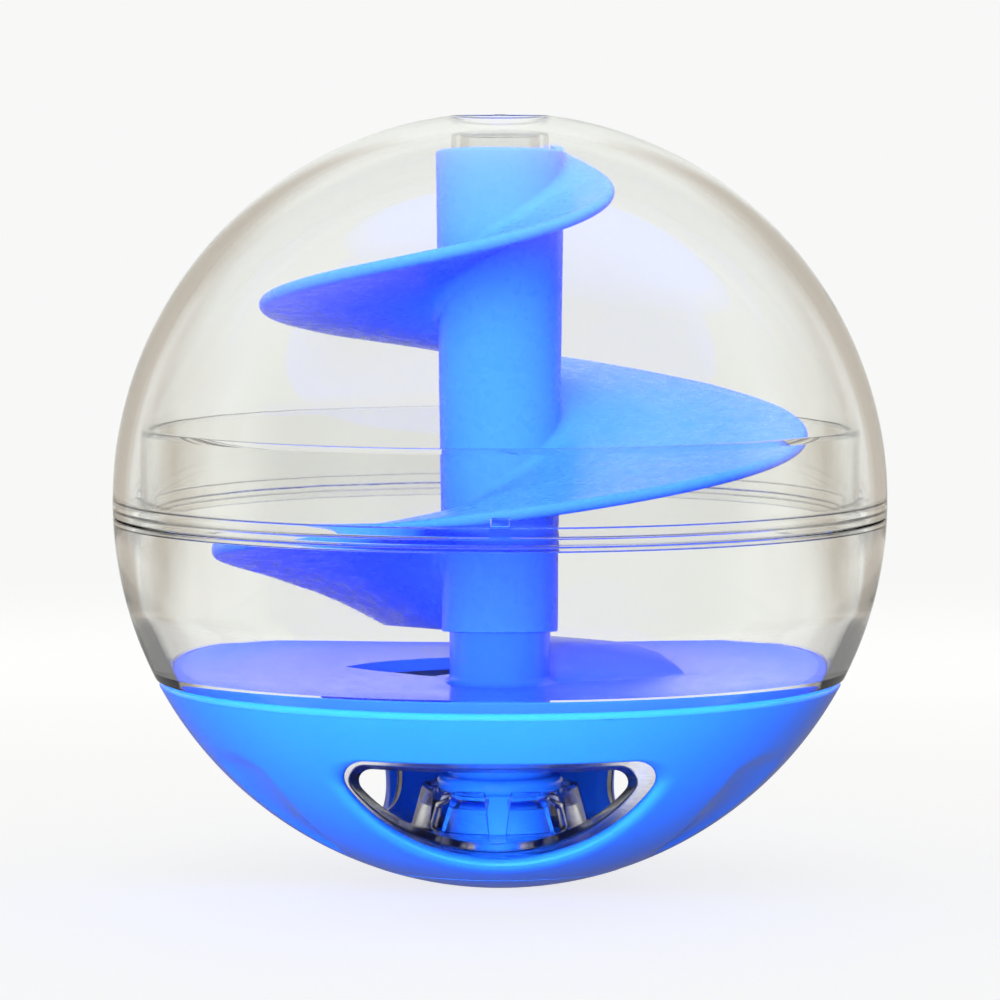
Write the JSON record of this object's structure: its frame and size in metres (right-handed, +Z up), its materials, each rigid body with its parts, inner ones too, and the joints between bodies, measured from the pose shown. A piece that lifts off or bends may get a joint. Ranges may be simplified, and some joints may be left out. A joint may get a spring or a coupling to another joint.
{
  "type": "treat maze ball",
  "caption": "Self-righting clear ball with a spiral ramp tower over a dished floor and a weighted base with side exit windows and a turning shutter.",
  "frame": {"origin": "centre of the small flat that the ball rests on", "axes": "+Z up through the crown of the dome, -Y out through the window that faces the viewer, +X to the viewer's right"},
  "size_m": [0.11, 0.11, 0.1093],
  "materials": {
    "clear_shell": "polished clear polystyrene",
    "clear_shutter": "clear moulded polypropylene",
    "blue_tower": "smooth injection-moulded, satin gloss",
    "blue_floor": "smooth injection-moulded, satin gloss",
    "blue_base": "polished injection-moulded, high gloss",
    "blue_cap": "polished injection-moulded",
    "ballast": "turned, oiled",
    "screw": "zinc plated"
  },
  "bodies": {
    "base": {"base_shell": "blue_base", "bottom_cap": "blue_cap", "ballast_disc": "ballast", "centre_screw": "screw", "floor_dish": "blue_floor", "lower_shell": "clear_shell", "locking_collar": "clear_shell"},
    "tower": {"spiral_tower": "blue_tower"},
    "lid": {"dome": "clear_shell"},
    "shutter": {"shutter_bowl": "clear_shutter"}
  },
  "joints": [
    {"name": "lift_off", "type": "slide", "parent": "base", "child": "tower", "axis": [0, 0, 1], "range_m": [0, 0.06]},
    {"name": "dome_twist", "type": "hinge", "parent": "tower", "child": "lid", "pos_m": [0, 0, 0.0522], "axis": [0, 0, 1], "range_deg": [0, 20]},
    {"name": "shutter_turn", "type": "hinge", "parent": "base", "child": "shutter", "pos_m": [0, 0, 0.0065], "axis": [0, 0, 1], "range_deg": [-60, 60]}
  ]
}
